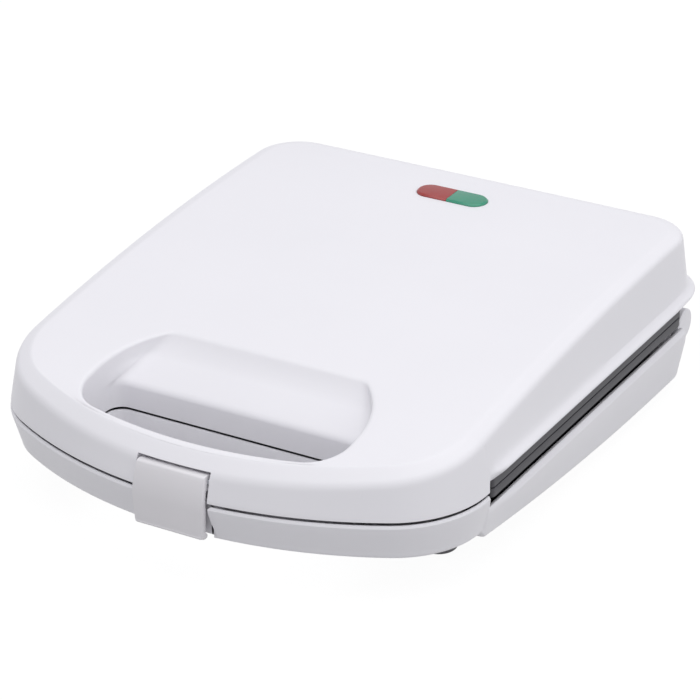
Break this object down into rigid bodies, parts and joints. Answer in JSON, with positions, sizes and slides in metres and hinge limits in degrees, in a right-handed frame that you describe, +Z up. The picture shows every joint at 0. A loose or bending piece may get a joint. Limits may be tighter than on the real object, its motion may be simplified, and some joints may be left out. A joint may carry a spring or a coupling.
{
  "type": "sandwich toaster",
  "caption": "Countertop sandwich toaster with a hinged lid, ribbed triangular pocket plates, a finger opening at the front, a swinging latch and two signal lamps.",
  "frame": {"origin": "middle of the overall box's lower face, on the surface that the feet stand on", "axes": "+Z up, -Y towards the latch and the user, +Y towards the hinge, X across"},
  "size_m": [0.224, 0.2702, 0.077],
  "materials": {
    "white_plastic": "satin gloss moulding",
    "grey_white_plastic": "satin gloss moulding",
    "nonstick_coating": "dark non-stick coating on die-cast aluminium",
    "heater_steel": "dull oxidised tube",
    "sheet_metal": "rolled sheet",
    "dark_phenolic": "moulded phenolic",
    "plated_steel": "zinc plated",
    "red_lens": "translucent red",
    "green_lens": "translucent green",
    "pale_nylon": "moulded nylon",
    "lamp_glass": "clear glass",
    "rubber": "soft dark rubber"
  },
  "bodies": {
    "base": {"base_cover": "white_plastic", "lower_plate": "nonstick_coating", "lower_heater": "heater_steel", "lower_heater_straps": "sheet_metal", "lower_reflector": "sheet_metal", "thermostat": "dark_phenolic", "thermal_fuse": "plated_steel", "terminal_block": "pale_nylon", "cord_gland": "pale_nylon", "hinge_brackets": "white_plastic", "hinge_pins": "plated_steel", "lower_plate_screws": "plated_steel", "hinge_bracket_screws": "plated_steel", "front_feet": "rubber", "rear_feet": "rubber"},
    "lid": {"lid_cover": "white_plastic", "upper_plate": "nonstick_coating", "upper_heater": "heater_steel", "upper_heater_straps": "sheet_metal", "upper_reflector": "sheet_metal", "red_lens": "red_lens", "green_lens": "green_lens", "lamp_holder": "pale_nylon", "neon_lamps": "lamp_glass", "hinge_arms": "white_plastic", "latch_pin": "plated_steel", "upper_plate_screws": "plated_steel", "hinge_arm_screws": "plated_steel", "lamp_holder_screws": "plated_steel"},
    "latch": {"latch": "grey_white_plastic"}
  },
  "joints": [
    {"name": "lid_hinge", "type": "hinge", "parent": "base", "child": "lid", "pos_m": [0, 0.1216, 0.0285], "axis": [-1, 0, 0], "range_deg": [0, 105]},
    {"name": "latch_hinge", "type": "hinge", "parent": "lid", "child": "latch", "pos_m": [0, -0.1286, 0.0462], "axis": [-1, 0, 0], "range_deg": [0, 35]}
  ]
}
